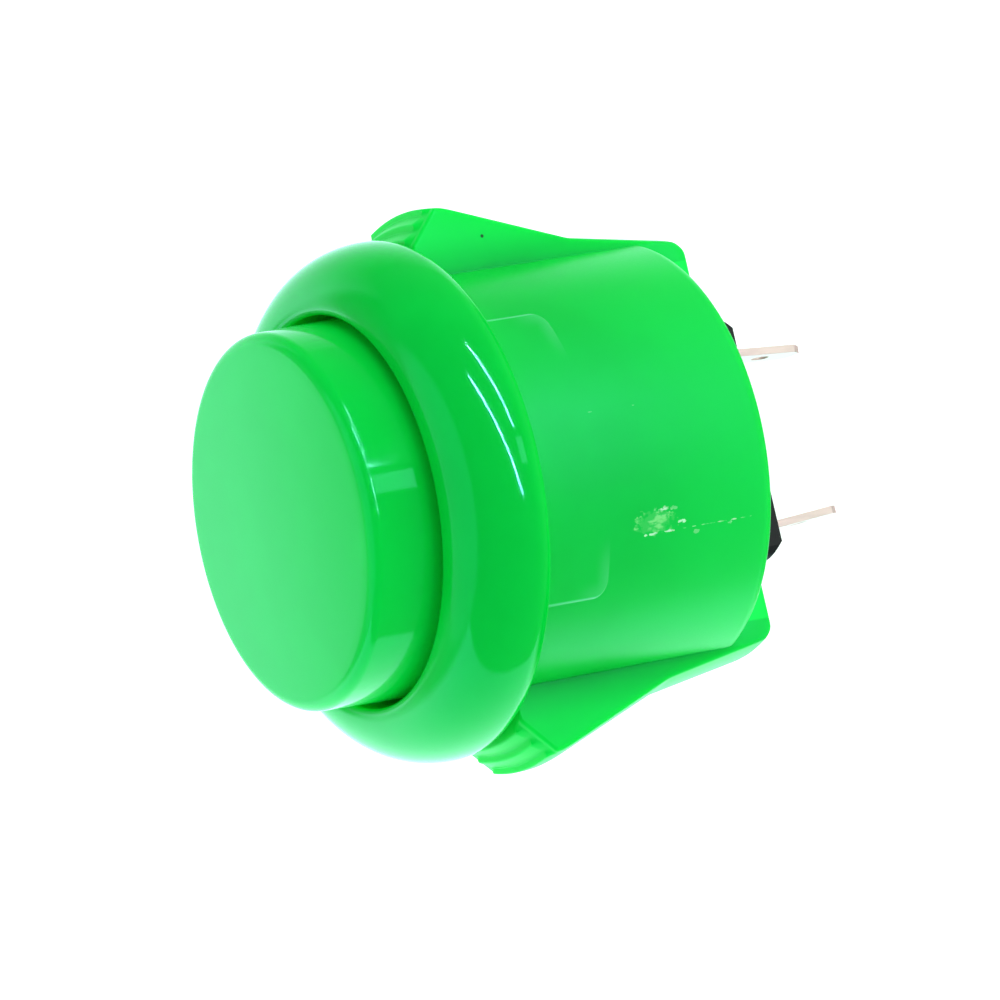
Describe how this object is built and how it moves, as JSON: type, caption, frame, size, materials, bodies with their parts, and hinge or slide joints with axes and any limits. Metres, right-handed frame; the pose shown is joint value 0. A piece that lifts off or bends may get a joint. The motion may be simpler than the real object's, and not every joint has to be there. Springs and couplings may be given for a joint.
{
  "type": "arcade push button",
  "caption": "Round snap-in arcade push button with a domed rim, barrel, spring wings and a sprung plunger that presses a rear switch with blade terminals.",
  "frame": {"origin": "centre of the rim's flat underside, in the plane of the panel's front face", "axes": "+Z along the button's axis towards the finger, wings at +Y and -Y, +X square to both"},
  "size_m": [0.0334, 0.0364, 0.0401],
  "materials": {
    "housing_plastic": "bright green moulded plastic, glossy on the rim, satin on the barrel",
    "plunger_plastic": "bright green moulded plastic, glossy",
    "switch_plastic": "black moulded plastic, satin",
    "actuator_plastic": "natural white moulded plastic",
    "spring_steel": "drawn spring wire",
    "contact_strip": "pressed copper alloy strip",
    "contact_metal": "silver contact rivet"
  },
  "bodies": {
    "body": {"housing": "housing_plastic", "switch_base": "switch_plastic", "switch_cover": "switch_plastic", "terminal_1": "contact_strip", "terminal_2": "contact_strip", "fixed_contact_1": "contact_metal", "fixed_contact_2": "contact_metal", "return_spring": "spring_steel"},
    "plunger": {"plunger": "plunger_plastic"},
    "actuator": {"switch_actuator": "actuator_plastic", "contact_spring": "spring_steel"},
    "bridge": {"contact_bridge": "contact_strip", "moving_contact_1": "contact_metal", "moving_contact_2": "contact_metal"}
  },
  "joints": [
    {"name": "plunger_press", "type": "slide", "parent": "body", "child": "plunger", "axis": [0, 0, -1], "range_m": [0, 0.0028], "stiffness_N_per_m": 180, "springref_m": -0.002, "deforming": ["return_spring"]},
    {"name": "actuator_slide", "type": "slide", "parent": "body", "child": "actuator", "axis": [0, 0, -1], "range_m": [0, 0.0028]},
    {"name": "bridge_slide", "type": "slide", "parent": "body", "child": "bridge", "axis": [0, 0, -1], "range_m": [0, 0.002], "deforming": ["contact_spring"]}
  ],
  "couplings": [
    {"joint": "actuator_slide", "follows": "plunger_press", "ratio": 1},
    {"joint": "bridge_slide", "follows": "plunger_press", "ratio": 0.71429}
  ]
}
